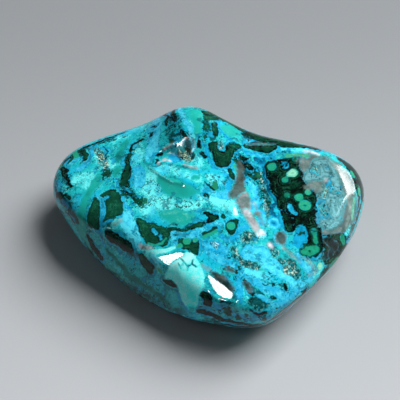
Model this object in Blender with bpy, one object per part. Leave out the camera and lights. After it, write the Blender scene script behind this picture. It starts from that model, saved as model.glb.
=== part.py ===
"""A polished freeform stone of chrysocolla and malachite, modelled as the one solid that it is.

A rounded blank gets its plan outline and its crown, then soft flats are ground on it, swellings and
hollows are worked in, and a small foot is ground flat so that it rests. +Z is up and +X runs along its
length. The origin is on the foot's plane, under the middle of the bounding box.
"""

import math

import bmesh
import bpy
from mathutils import Vector

MM = 0.001

# Driving dimensions, in millimetres.
HEIGHT = 35.5            # top of the crown above the foot
GIRDLE_HEIGHT = 13.0     # where the stone is widest
BELLY_DEPTH = 15.0       # how far the rounded underside would reach below the girdle before it is ground
CROWN_SQUARENESS = 0.80  # 1 is an ellipsoid; less pushes the crown out towards its rim
BELLY_SQUARENESS = 0.72
CROWN_FADE = 6.0         # height above the girdle over which a swelling or hollow reaches its full size
CLEAR_OF_PLANE = 12.0    # a point this many softnesses below a ground plane stays where it is
BLANK_CUTS = 27          # cuts along each cube edge of the blank

# The plan outline at the girdle: azimuth in degrees from +X, and radius in millimetres.
OUTLINE = (
    (0, 44.0),
    (14, 48.0),
    (28, 48.0),
    (48, 43.0),
    (72, 38.0),
    (95, 38.0),
    (118, 40.0),
    (138, 46.0),
    (152, 51.4),
    (165, 50.2),
    (182, 42.0),
    (200, 37.2),
    (222, 34.8),
    (246, 33.2),
    (270, 34.4),
    (292, 38.2),
    (314, 36.6),
    (338, 38.4),
)

# Ground flats: azimuth and elevation of the outward normal in degrees, distance from the middle of the
# stone, and the softness of its edge, in millimetres.
FLATS = {
    "table": (262, 79, 12.5, 1.2),
    "left_shoulder": (172, 73, 19.0, 2.0),
    "right_shoulder": (5, 74, 22.5, 2.0),
    "front_left_face": (233, 27, 25.6, 1.2),
    "front_face": (262, 12, 34.0, 1.2),
    "back_right_face": (66, 36, 31.0, 2.5),
    "front_left_undercut": (225, -35, 31.0, 2.0),
}

# Swellings and hollows: x and y of the middle, azimuth of the long way, reach along and across it, and
# height, in millimetres and degrees. A hollow's height is negative.
SWELLINGS = {
    "back_knob": (-6.5, 27.0, 90, 13.0, 10.5, 5.6),
    "left_saddle": (-24.0, 30.0, 90, 12.0, 9.0, -1.0),
    "right_saddle": (16.0, 30.0, 90, 10.0, 7.0, -0.8),
    "right_lobe": (35.0, 16.0, 0, 12.0, 10.0, 2.8),
    "right_dish": (30.0, 2.0, 90, 12.0, 9.0, -1.2),
    "middle_valley": (17.0, 2.0, 105, 20.0, 6.0, -1.5),
    "left_dome": (-4.0, 0.0, 110, 22.0, 12.0, 2.0),
    "crown_ridge": (-9.8, 4.2, 147, 9.0, 2.2, 0.7),
    "natural_pocket": (-9.3, 12.7, 168, 6.0, 2.6, -2.2),
}


def smooth_closed_curve(stations, azimuth):
    """The radius at an azimuth, on a periodic cubic through the stations."""
    count = len(stations)
    for i in range(count):
        start, radius = stations[i]
        end, next_radius = stations[(i + 1) % count]
        span = (end - start) % 360.0
        along = (azimuth - start) % 360.0
        if along < span:
            before, before_radius = stations[i - 1]
            after, after_radius = stations[(i + 2) % count]
            slope = (next_radius - before_radius) / ((end - before) % 360.0)
            next_slope = (after_radius - radius) / ((after - start) % 360.0)
            t = along / span
            return (
                radius * (1 + 2 * t) * (1 - t) ** 2
                + next_radius * t * t * (3 - 2 * t)
                + span * slope * t * (1 - t) ** 2
                - span * next_slope * t * t * (1 - t)
            )
    raise ValueError("the stations don't go all the way round")


def blank_point(unit):
    """Where a point of the unit sphere goes on the rounded blank, in millimetres."""
    azimuth = math.degrees(math.atan2(unit.y, unit.x))
    spread = math.hypot(unit.x, unit.y)
    squareness = CROWN_SQUARENESS if unit.z > 0 else BELLY_SQUARENESS
    reach = smooth_closed_curve(OUTLINE, azimuth) * spread ** squareness
    depth = HEIGHT - GIRDLE_HEIGHT if unit.z > 0 else BELLY_DEPTH
    direction = math.radians(azimuth)
    return Vector((
        reach * math.cos(direction),
        reach * math.sin(direction),
        GIRDLE_HEIGHT + depth * unit.z,
    ))


def direction_of(azimuth, elevation):
    a, e = math.radians(azimuth), math.radians(elevation)
    return Vector((math.cos(a) * math.cos(e), math.sin(a) * math.cos(e), math.sin(e)))


def ground(point, azimuth, elevation, distance, softness):
    """The point after a flat is ground: what stood proud of its plane now lies on it, with a rounded edge."""
    normal = direction_of(azimuth, elevation)
    middle = Vector((0, 0, GIRDLE_HEIGHT))
    proud = (point - middle).dot(normal) - distance
    kept = -softness * math.log1p(math.exp(-proud / softness)) if proud > -CLEAR_OF_PLANE * softness else proud
    return point + normal * (kept - proud)


def swollen(point, x, y, azimuth, reach_along, reach_across, height):
    """The point after a swelling or hollow is worked into the crown."""
    turn = math.radians(azimuth)
    along = (point.x - x) * math.cos(turn) + (point.y - y) * math.sin(turn)
    across = (point.y - y) * math.cos(turn) - (point.x - x) * math.sin(turn)
    fade = math.exp(-((along / reach_along) ** 2) - (across / reach_across) ** 2)
    crown = min(1.0, max(0.0, (point.z - GIRDLE_HEIGHT) / CROWN_FADE))
    return point + Vector((0, 0, height * fade * crown))


def rounded_blank():
    """A cube with evenly cut faces, blown up to a sphere of unit radius."""
    blank = bmesh.new()
    bmesh.ops.create_cube(blank, size=2.0)
    bmesh.ops.subdivide_edges(blank, edges=blank.edges[:], cuts=BLANK_CUTS, use_grid_fill=True)
    for vert in blank.verts:
        vert.co = Vector(math.tan(c * math.pi / 4) for c in vert.co).normalized()
    return blank


def chrysocolla_material():
    material = bpy.data.materials.new("polished_chrysocolla")
    material.use_nodes = True
    shader = material.node_tree.nodes["Principled BSDF"]
    shader.inputs["Base Color"].default_value = (0.03, 0.42, 0.50, 1)
    shader.inputs["Roughness"].default_value = 0.08
    shader.inputs["Metallic"].default_value = 0.0
    return material


def stone():
    blank = rounded_blank()
    points = []
    for vert in blank.verts:
        point = blank_point(vert.co)
        for flat in FLATS.values():
            point = ground(point, *flat)
        for swelling in SWELLINGS.values():
            point = swollen(point, *swelling)
        point.z = max(point.z, 0.0)
        points.append(point)
    middle_x = (min(p.x for p in points) + max(p.x for p in points)) / 2
    middle_y = (min(p.y for p in points) + max(p.y for p in points)) / 2
    for vert, point in zip(blank.verts, points):
        vert.co = (point - Vector((middle_x, middle_y, 0))) * MM
    mesh = bpy.data.meshes.new("chrysocolla_stone")
    blank.to_mesh(mesh)
    blank.free()
    mesh.shade_smooth()
    made = bpy.data.objects.new("chrysocolla_stone", mesh)
    made.data.materials.append(chrysocolla_material())
    return made


for leftover in list(bpy.data.objects):
    bpy.data.objects.remove(leftover)
specimen = bpy.data.collections.new("chrysocolla_specimen")
bpy.context.scene.collection.children.link(specimen)
specimen.objects.link(stone())
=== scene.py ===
import math
from types import SimpleNamespace

import bmesh
import bpy
import numpy as np
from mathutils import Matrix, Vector, noise
from mathutils.bvhtree import BVHTree


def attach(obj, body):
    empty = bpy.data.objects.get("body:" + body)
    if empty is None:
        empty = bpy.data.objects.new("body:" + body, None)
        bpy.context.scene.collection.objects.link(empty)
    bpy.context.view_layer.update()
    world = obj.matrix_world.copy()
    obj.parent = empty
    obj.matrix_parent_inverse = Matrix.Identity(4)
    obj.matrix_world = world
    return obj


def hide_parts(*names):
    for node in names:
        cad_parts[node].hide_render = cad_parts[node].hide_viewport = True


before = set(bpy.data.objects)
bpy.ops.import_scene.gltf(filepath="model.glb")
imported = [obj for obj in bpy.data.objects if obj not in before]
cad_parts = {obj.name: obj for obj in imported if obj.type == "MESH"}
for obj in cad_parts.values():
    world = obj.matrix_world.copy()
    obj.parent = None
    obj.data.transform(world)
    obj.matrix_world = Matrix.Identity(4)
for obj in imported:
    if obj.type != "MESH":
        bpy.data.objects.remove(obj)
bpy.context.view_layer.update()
MM = 0.001


# ---------------------------------------------------------------------------------------------------------
# The view. The stone lies on its foot on a pale tabletop and is looked down on from fifty degrees, from
# far enough off that its near and far edges keep their sizes.
# ---------------------------------------------------------------------------------------------------------
CAMERA_ELEVATION = math.radians(50.0)
CAMERA_DISTANCE = 330.0 * MM
LENS = 100.0
SENSOR = 36.0
FRAME_PIXELS = 400
LOOKED_AT = Vector((-2.4, 3.4, 17.9)) * MM

to_camera = Vector((0.0, -math.cos(CAMERA_ELEVATION), math.sin(CAMERA_ELEVATION)))
picture_up = Vector((0.0, math.sin(CAMERA_ELEVATION), math.cos(CAMERA_ELEVATION)))
picture_right = Vector((1.0, 0.0, 0.0))
camera_place = LOOKED_AT + to_camera * CAMERA_DISTANCE

camera = bpy.data.objects.new("camera", bpy.data.cameras.new("camera"))
bpy.context.scene.collection.objects.link(camera)
camera.data.lens = LENS
camera.data.sensor_width = SENSOR
camera.data.clip_start = 0.01
camera.data.clip_end = 20.0
camera.location = camera_place
camera.rotation_euler = (-to_camera).to_track_quat("-Z", "Y").to_euler()
bpy.context.scene.camera = camera


# ---------------------------------------------------------------------------------------------------------
# The stone's skin. A hand-ground, hand-polished freeform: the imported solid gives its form, and this gives
# its even, slightly wavy polish. It is a fine quad sphere, cast from the stone's heart on to the solid and
# relaxed until no facet shows.
# ---------------------------------------------------------------------------------------------------------
SKIN_CELLS = 124          # along each edge of the cube that the quad sphere starts from
CROWN_SHARE = 0.32        # 0 spreads the faces evenly; more gives the crown a larger share
SKIN_BLANK = Vector((47.0, 36.0, 24.0))
HEART = Vector((0.0, 0.0, 14.0))
RELAX_STEPS = 60
WAVE_LENGTH = 9.0         # of the polish, and its height, in millimetres
WAVE_HEIGHT = 0.10
WELD_DISTANCE = 0.01 * MM
FOOT_EDGE = 2.0           # height over which a move grows from nothing at the foot to its whole size

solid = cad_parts["chrysocolla_stone"]
merged = bmesh.new()
merged.from_mesh(solid.data)
bmesh.ops.remove_doubles(merged, verts=merged.verts[:], dist=WELD_DISTANCE)
solid_tree = BVHTree.FromBMesh(merged)
merged.free()

skin_cage = bmesh.new()
bmesh.ops.create_cube(skin_cage, size=2.0)
bmesh.ops.subdivide_edges(skin_cage, edges=skin_cage.edges[:], cuts=SKIN_CELLS - 1, use_grid_fill=True)
for vert in skin_cage.verts:
    unit = Vector(math.tan(c * math.pi / 4) for c in vert.co).normalized()
    lifted = (unit.z + CROWN_SHARE) / (1 + CROWN_SHARE * unit.z)
    ring = math.sqrt(max(0.0, 1 - lifted * lifted)) / max(1e-9, math.hypot(unit.x, unit.y))
    aim = Vector((unit.x * ring * SKIN_BLANK.x, unit.y * ring * SKIN_BLANK.y, lifted * SKIN_BLANK.z))
    vert.co = solid_tree.ray_cast(HEART * MM, aim.normalized())[0]

skin_mesh = bpy.data.meshes.new("stone_skin")
skin_cage.to_mesh(skin_mesh)
skin_cage.free()
skin = bpy.data.objects.new("stone_skin", skin_mesh)
bpy.context.scene.collection.objects.link(skin)
relax = skin.modifiers.new("relax", "SMOOTH")
relax.factor = 0.5
relax.iterations = RELAX_STEPS
skin.data = bpy.data.meshes.new_from_object(skin.evaluated_get(bpy.context.evaluated_depsgraph_get()))
skin.modifiers.clear()


def read_points(mesh):
    """The mesh's points, in millimetres."""
    flat = np.zeros(len(mesh.vertices) * 3, np.float32)
    mesh.vertices.foreach_get("co", flat)
    return flat.reshape(-1, 3).astype(float) / MM


def read_normals(mesh):
    """The direction that the mesh faces at each point."""
    flat = np.zeros(len(mesh.vertices) * 3, np.float32)
    mesh.vertices.foreach_get("normal", flat)
    return flat.reshape(-1, 3).astype(float)


def push_out(mesh, heights):
    """Moves each point along its normal by a height in millimetres. The foot stays flat."""
    points = read_points(mesh)
    above_foot = np.clip(points[:, 2] / FOOT_EDGE, 0, 1)
    moved = points + read_normals(mesh) * (heights * above_foot)[:, None]
    mesh.vertices.foreach_set("co", (moved * MM).astype(np.float32).ravel())
    mesh.update()


points = read_points(skin.data)
waves = np.array([noise.noise(Vector(p) / WAVE_LENGTH) for p in points])
push_out(skin.data, waves * WAVE_HEIGHT)
skin.data.shade_smooth()


# ---------------------------------------------------------------------------------------------------------
# How a mineral's patches are laid. Copper minerals fill a rock one after another, so each patch grows over
# the ones before it. A patch is either a string of balls, each placed by the pixel where the view above
# shows it and sized in millimetres, or an area inside an outline of such pixels. Each mineral keeps its
# depth, in millimetres: below nought inside it.
# ---------------------------------------------------------------------------------------------------------
FAR_AWAY = 30.0
RAGGED_SIZE = 2.6         # how large and how deep the unevenness of the patches' edges is
RAGGED_DEPTH = 0.60
FINE_RAGGED_SIZE = 0.9
FINE_RAGGED_DEPTH = 0.28
RAGGED_SEED = 1           # without one, the unevenness would change with every run
CORNER_ROUNDINGS = 2
AREA_MARGIN = 5.0         # how far round an outline its depth is worked out
EDGE_ON = 0.15            # an outline's patch ends where the skin faces the view by less than this

focal = FRAME_PIXELS * LENS / SENSOR
mm_per_pixel = CAMERA_DISTANCE / MM / focal
noise.seed_set(RAGGED_SEED)


def survey(ragged_depth, fine_ragged_depth):
    """The skin's points in millimetres and in the view's pixels, unevenly shifted by what is asked."""
    points = read_points(skin.data)
    shifted = points.copy()
    for size, depth in ((RAGGED_SIZE, ragged_depth), (FINE_RAGGED_SIZE, fine_ragged_depth)):
        if depth:
            shifted += depth * np.array([noise.noise_vector(Vector(p) / size) for p in points])
    from_camera = shifted - np.array(camera_place) / MM
    away = -(from_camera @ np.array(to_camera))
    return SimpleNamespace(
        points=points,
        shifted=shifted,
        facing=read_normals(skin.data) @ np.array(to_camera),
        across=FRAME_PIXELS / 2 + from_camera @ np.array(picture_right) / away * focal,
        down=FRAME_PIXELS / 2 - from_camera @ np.array(picture_up) / away * focal,
        tree=BVHTree.FromPolygons(
            [Vector(p) for p in points],
            [tuple(face.vertices) for face in skin.data.polygons]),
    )


def seen_at(across, down):
    """The point of the skin that the view shows at a pixel, or the nearest to it."""
    ray = (-to_camera + picture_right * (across - FRAME_PIXELS / 2) / focal
           + picture_up * (FRAME_PIXELS / 2 - down) / focal).normalized()
    hit = here.tree.ray_cast(camera_place / MM, ray)[0]
    if hit is None:
        towards_heart = (HEART - camera_place / MM).dot(ray)
        hit = here.tree.find_nearest(camera_place / MM + ray * towards_heart)[0]
    return np.array(hit)


def depth_of_string(balls):
    """How far each skin point is outside a string of balls. A ball's place is a pixel or a point."""
    placed = [(np.array(place) if len(place) == 3 else seen_at(*place), radius) for *place, radius in balls]
    best = np.full(len(here.points), FAR_AWAY)
    for (start, start_radius), (end, end_radius) in zip(placed, placed[1:] or placed):
        run = end - start
        along = np.clip((here.shifted - start) @ run / max(1e-9, run @ run), 0, 1)
        gap = np.linalg.norm(here.shifted - start - along[:, None] * run, axis=1)
        best = np.minimum(best, gap - start_radius - along * (end_radius - start_radius))
    return best


def depth_of_area(outline):
    """How far each skin point that faces the view is outside an outline with rounded corners."""
    corners = np.array(outline, float)
    for _ in range(CORNER_ROUNDINGS):
        after = np.roll(corners, -1, axis=0)
        corners = np.stack([0.75 * corners + 0.25 * after, 0.25 * corners + 0.75 * after], 1).reshape(-1, 2)
    margin = AREA_MARGIN / mm_per_pixel
    low, high = corners.min(0) - margin, corners.max(0) + margin
    near = np.flatnonzero((here.facing > 0) & (here.across > low[0]) & (here.across < high[0])
                          & (here.down > low[1]) & (here.down < high[1]))
    x, y = here.across[near], here.down[near]
    gap = np.full(len(near), 1e9)
    within = np.zeros(len(near), bool)
    for (x0, y0), (x1, y1) in zip(corners, np.roll(corners, -1, axis=0)):
        side_squared = (x1 - x0) ** 2 + (y1 - y0) ** 2
        along = np.clip(((x - x0) * (x1 - x0) + (y - y0) * (y1 - y0)) / side_squared, 0, 1)
        gap = np.minimum(gap, np.hypot(x - x0 - along * (x1 - x0), y - y0 - along * (y1 - y0)))
        crosses = (y0 > y) != (y1 > y)
        within ^= crosses & (x < (x1 - x0) * (y - y0) / ((y1 - y0) or 1e-9) + x0)
    best = np.full(len(here.points), FAR_AWAY)
    best[near] = np.where(within, -gap, gap) * mm_per_pixel
    return best + FAR_AWAY * np.clip(EDGE_ON - here.facing, 0, 1)


def depth_of(patch):
    """An outline's corners have two numbers, and a string's balls have more."""
    return depth_of_area(patch) if len(patch[0]) == 2 else depth_of_string(patch)


def brush(field, patch, value, soft):
    """Draws a field towards a value in and round a patch, and grows nothing."""
    share = np.clip(0.5 - depth_of(patch) / soft, 0, 1)
    share = share * share * (3 - 2 * share)
    field[:] = field * (1 - share) + value * share


def lay(mineral, patches, soft=0.35):
    """Grows named patches of a mineral over the others. Each is a tone, -1 for dark to 1 for pale, and
    then its balls or its outline."""
    for patch_tone, *patch in patches.values():
        depth = depth_of(patch)
        for other in depths:
            depths[other] = np.maximum(depths[other], -depth)
        before = depths.get(mineral, np.full(len(here.points), FAR_AWAY))
        depths[mineral] = np.minimum(before, depth)
        share = np.clip(0.5 - depth / soft, 0, 1)
        tone[:] = tone * (1 - share) + patch_tone * share


CHANCE_SEED = 7
UNSEEN = -0.08            # the skin is out of the view's sight where it faces the view by less than this
BALL_SHARES = (0.5, 1.3)  # of the radius asked for
WANDER = 0.6              # 0 goes straight on; more turns more from ball to ball
chance = np.random.default_rng(CHANCE_SEED)


def grown_unseen(count, tones, lengths, step, radius):
    """Strings of balls that wander by chance over the back, the ends and the underside, out of the view's
    sight. The lengths are the fewest balls in a string, and one more than the most."""
    unseen = np.flatnonzero(here.facing < UNSEEN)
    patches = {}
    for number in range(count):
        place = Vector(here.points[chance.choice(unseen)])
        heading = Vector(chance.normal(size=3))
        patches[number] = [chance.uniform(*tones)]
        for _ in range(chance.integers(*lengths)):
            patches[number].append((*place, radius * chance.uniform(*BALL_SHARES)))
            heading = (heading.normalized() + WANDER * Vector(chance.normal(size=3))).normalized()
            further, normal, _, _ = here.tree.find_nearest(place + heading * step)
            place = further if normal.dot(to_camera) < 0 else place
    return patches


# ---------------------------------------------------------------------------------------------------------
# Hand work on the skin: ridges that the wheel left standing, natural hollows, and small flats that catch
# the light. A flat's outline is in pixels of the view, and it is ground square to the way half between a
# lamp and the view.
# ---------------------------------------------------------------------------------------------------------
LAMP_DISTANCE = 0.65
LOBE_LAMP = Vector((0.81, 0.36, 0.45)).normalized()
CREST_LAMP = Vector((-0.40, -0.36, 0.82)).normalized()

here = survey(0.0, 0.0)
RELIEF = {
    "lobe_rim": (0.30, 2.0, (290, 153, 0.3), (306, 152, 0.3), (318, 154, 0.3), (330, 159, 0.3),
                 (341, 167, 0.3), (349, 177, 0.3), (354, 188, 0.3), (355, 200, 0.3)),
    "tongue": (0.25, 1.2, (184, 258, 2.0), (190, 268, 3.0), (193, 285, 2.4), (194, 300, 1.5)),
    "crisp_ridge": (0.25, 0.6, (146, 161, 0.1), (153, 168, 0.1), (161, 175, 0.1), (171, 181, 0.1),
                    (184, 184, 0.1)),
    "front_crest": (0.9, 2.4, (238, 303, 0.3), (249, 309, 0.3), (260, 314, 0.3), (268, 314, 0.3),
                    (280, 306, 0.3), (292, 297, 0.3), (304, 288, 0.3), (316, 277, 0.3), (328, 265, 0.3),
                    (338, 252, 0.3), (346, 238, 0.3)),
    "left_crest": (0.3, 1.5, (78, 214, 0.3), (98, 231, 0.3), (118, 241, 0.3), (136, 251, 0.3)),
    "pocket": (-0.9, 0.9, (162, 157, 0.6), (169, 154, 0.8), (177, 157, 0.7)),
    "pocket_lip_top": (0.35, 0.5, (164, 149, 0.1), (169, 146, 0.1), (174, 144, 0.1)),
    "pocket_lip": (0.35, 0.5, (158, 163, 0.1), (166, 163, 0.1), (176, 165, 0.1), (186, 166, 0.1),
                   (196, 168, 0.1)),
}
DRUSES = {
    "pocket_lining": ((179, 153, 0.8), (184, 155, 1.1), (189, 158, 0.8)),
    "agate_top": ((313, 170, 0.4), (317, 169, 0.5)),
    "agate_middle": ((330, 186, 0.4), (326, 191, 0.5), (324, 196, 0.4)),
    "agate_low": ((319, 205, 0.3), (323, 211, 0.35), (326, 217, 0.3)),
    "left_back": ((99, 154, 0.5), (103, 158, 0.6)),
    "middle": ((212, 244, 0.4), (216, 247, 0.4)),
    "beside_field": ((267, 204, 0.3), (267, 211, 0.4)),
}
DRUSE_DEPTH = 0.35
DRUSE_EDGE = 0.4

heights = np.zeros(len(here.points))
for height, reach, *balls in RELIEF.values():
    heights += height * np.exp(-(np.maximum(depth_of_string(balls), 0) / reach) ** 2)
for balls in DRUSES.values():
    heights -= DRUSE_DEPTH * np.exp(-(np.maximum(depth_of_string(balls), 0) / DRUSE_EDGE) ** 2)
push_out(skin.data, heights)

here = survey(0.0, 0.0)
FLATS = {
    "crest_left": (CREST_LAMP, 0.9, (153, 256), (165, 254), (176, 250), (189, 249), (185, 256), (174, 263),
                   (164, 268), (157, 263)),
    "crest_right": (CREST_LAMP, 0.9, (206, 271), (215, 271), (224, 279), (232, 288), (237, 301), (226, 301),
                    (215, 296), (208, 285)),
    "valley": (LOBE_LAMP, 0.9, (224, 205), (233, 202), (240, 208), (243, 216), (235, 217), (228, 213)),
    "lobe": (LOBE_LAMP, 1.6, (322, 156), (332, 159), (342, 165), (350, 173), (355, 182), (357, 192),
             (353, 196), (347, 190), (341, 182), (333, 175), (327, 167)),
}
LIP = 0.8                 # the most that the skin comes out to meet a flat

points = here.points.copy()
for lamp_direction, edge, *outline in FLATS.values():
    middle = seen_at(*np.array(outline).mean(0))
    to_lamp = (HEART + lamp_direction * LAMP_DISTANCE / MM - Vector(middle)).normalized()
    square = np.array(to_lamp + (camera_place / MM - Vector(middle)).normalized())
    square /= np.linalg.norm(square)
    share = np.clip(0.5 - depth_of_area(outline) / edge, 0, 1)
    proud = (points - middle) @ square
    moved = np.where(proud > 0, proud, -LIP * (1 - np.exp(np.minimum(proud, 0) / LIP)))
    points -= (moved * share)[:, None] * square
skin.data.vertices.foreach_set("co", (points * MM).astype(np.float32).ravel())
skin.data.update()

here = survey(RAGGED_DEPTH, FINE_RAGGED_DEPTH)
depths = {}
tone = np.zeros(len(here.points))
net = np.zeros(len(here.points))
dusk_and_painted_shade = np.zeros(len(here.points))
dull = np.zeros(len(here.points))
haze_and_reflection = np.zeros(len(here.points))
druse = np.zeros(len(here.points))
for balls in DRUSES.values():
    brush(druse, balls, 1.0, DRUSE_EDGE)


# ---------------------------------------------------------------------------------------------------------
# Chrysocolla ground: the turquoise mass of the stone. It is paler in clouds, and a net of dark specks and
# hairlines runs through the parts that the malachite reached.
# ---------------------------------------------------------------------------------------------------------
CLOUDS = {
    "left_wing": (0.75, 3.0, (76, 182, 2.0), (86, 178, 2.4), (96, 186, 1.8)),
    "left_wing_low": (0.3, 2.0, (76, 203, 1.6), (80, 213, 1.6)),
    "left_back": (0.7, 3.0, (100, 155, 2.0), (110, 165, 2.0)),
    "back_slope": (0.7, 3.0, (118, 138, 1.6), (140, 128, 1.8)),
    "beside_vein": (0.8, 3.0, (137, 146, 1.8), (138, 158, 1.8)),
    "crown_left": (1.0, 4.0, (150, 178, 2.4), (152, 195, 3.0), (146, 208, 2.0)),
    "crown_middle": (0.95, 3.0, (158, 203, 1.8), (178, 205, 1.6), (196, 206, 1.6)),
    "knob_neck": (0.5, 2.0, (192, 122, 1.2), (195, 142, 1.2), (197, 165, 1.6)),
    "knob_top": (0.0, 2.0, (186, 110, 1.0), (202, 112, 1.4)),
    "above_lens": (0.8, 2.0, (160, 168, 1.2), (180, 172, 1.5), (198, 178, 1.5)),
    # The swoosh is partly pale ground and partly a painted soft highlight.
    "swoosh": (1.0, 2.0, (200, 198, 0.8), (212, 200, 1.4), (224, 202, 1.4), (232, 206, 1.6),
               (236, 213, 1.8)),
    "pale_disc": (1.0, 0.8, (210, 176, 1.2), (216, 180, 2.0), (214, 187, 1.2)),
    "strip": (0.7, 1.5, (130, 222, 1.6), (134, 238, 1.6)),
    "front_middle": (0.35, 3.0, (250, 270, 2.0), (268, 277, 2.0)),
    # This darkening of the lower-left side face is partly its own dark teal and partly painted shade.
    "side": (-0.75, 4.0, (85, 248, 2.0), (108, 271, 3.0), (140, 296, 4.0), (178, 314, 4.0),
             (225, 326, 3.0)),
    "side_left": (-0.1, 3.0, (56, 205, 1.5), (70, 228, 2.5)),
    "right_low": (-0.6, 3.0, (318, 262, 1.5), (330, 250, 1.5)),
    "knob": (-0.3, 2.0, (172, 118, 2.0), (172, 134, 2.5)),
    "back_right": (-0.5, 3.0, (245, 140, 1.5), (275, 146, 1.5), (300, 149, 1.0)),
    "crown_right": (-0.4, 4.0, (240, 160, 2.5), (250, 174, 2.5), (262, 192, 2.0), (270, 212, 1.5)),
}
for cloud_tone, soft, *balls in CLOUDS.values():
    brush(tone, balls, cloud_tone, soft)
unseen_clouds = grown_unseen(26, tones=(-0.8, 0.9), lengths=(1, 4), step=5.0, radius=3.0)
for cloud_tone, *balls in unseen_clouds.values():
    brush(tone, balls, cloud_tone, 5.0)

NETS = {
    "left_end": (0.35, 5.0, (58, 170, 3.0), (60, 190, 2.5), (66, 206, 2.0)),
    "left_back": (0.85, 3.0, (72, 158, 2.0), (98, 144, 1.4), (114, 138, 1.2)),
    "left_knot": (0.9, 2.5, (100, 178, 1.6), (106, 172, 1.2), (110, 180, 1.0)),
    "vein": (0.8, 3.0, (152, 128, 1.0), (136, 144, 1.0), (128, 158, 1.4), (126, 176, 1.6),
             (124, 184, 1.6)),
    "below_vein": (0.9, 3.0, (122, 192, 1.6), (134, 198, 2.0), (144, 204, 1.6)),
    "side": (0.15, 6.0, (85, 245, 3.0), (108, 268, 4.0), (140, 292, 5.0), (178, 314, 5.0),
             (225, 326, 4.0)),
    # back_rim, right_rim and front_edge crowd dark specks on to the outline and keep bright rims off it, as
    # part of the painted shade there.
    "back_rim": (1.0, 3.0, (205, 112, 1.0), (240, 128, 1.5), (275, 140, 1.6), (310, 147, 1.4)),
    "behind_boot": (0.8, 2.0, (205, 122, 1.4), (208, 136, 1.6)),
    "low_middle": (0.2, 3.0, (205, 248, 2.0), (240, 262, 2.0), (275, 285, 2.5), (295, 292, 2.0)),
    "front_edge": (0.9, 3.0, (215, 308, 1.6), (240, 316, 1.6), (262, 318, 1.4)),
    "right_rim": (1.0, 2.5, (346, 162, 1.4), (358, 176, 1.6), (363, 195, 1.6), (358, 215, 1.4),
                  (348, 240, 1.4), (334, 262, 1.4), (312, 288, 1.2)),
    "crown_right": (0.9, 3.0, (236, 150, 2.0), (250, 170, 3.0), (262, 192, 2.0), (270, 212, 1.5)),
    "knob": (0.7, 2.0, (172, 116, 2.4), (174, 134, 3.0), (190, 148, 1.5)),
    "pale_disc": (0.7, 1.0, (214, 178, 1.6), (215, 186, 1.2)),
    "crown": (0.35, 3.0, (152, 186, 2.5), (168, 205, 1.6), (196, 206, 1.6)),
    "right_corner": (0.9, 3.0, (302, 236, 2.0), (312, 250, 3.0), (330, 250, 3.0)),
}
for share, soft, *balls in NETS.values():
    brush(net, balls, share, soft)
unseen_nets = grown_unseen(22, tones=(0.4, 1.0), lengths=(1, 4), step=5.0, radius=3.0)
for share, *balls in unseen_nets.values():
    brush(net, balls, share, 4.0)

# Dusk is mostly fine malachite. Along the outline (back_flank, back_right, right_edge, left_edge,
# front_low) it is painted shade where the surface turns away.
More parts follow.
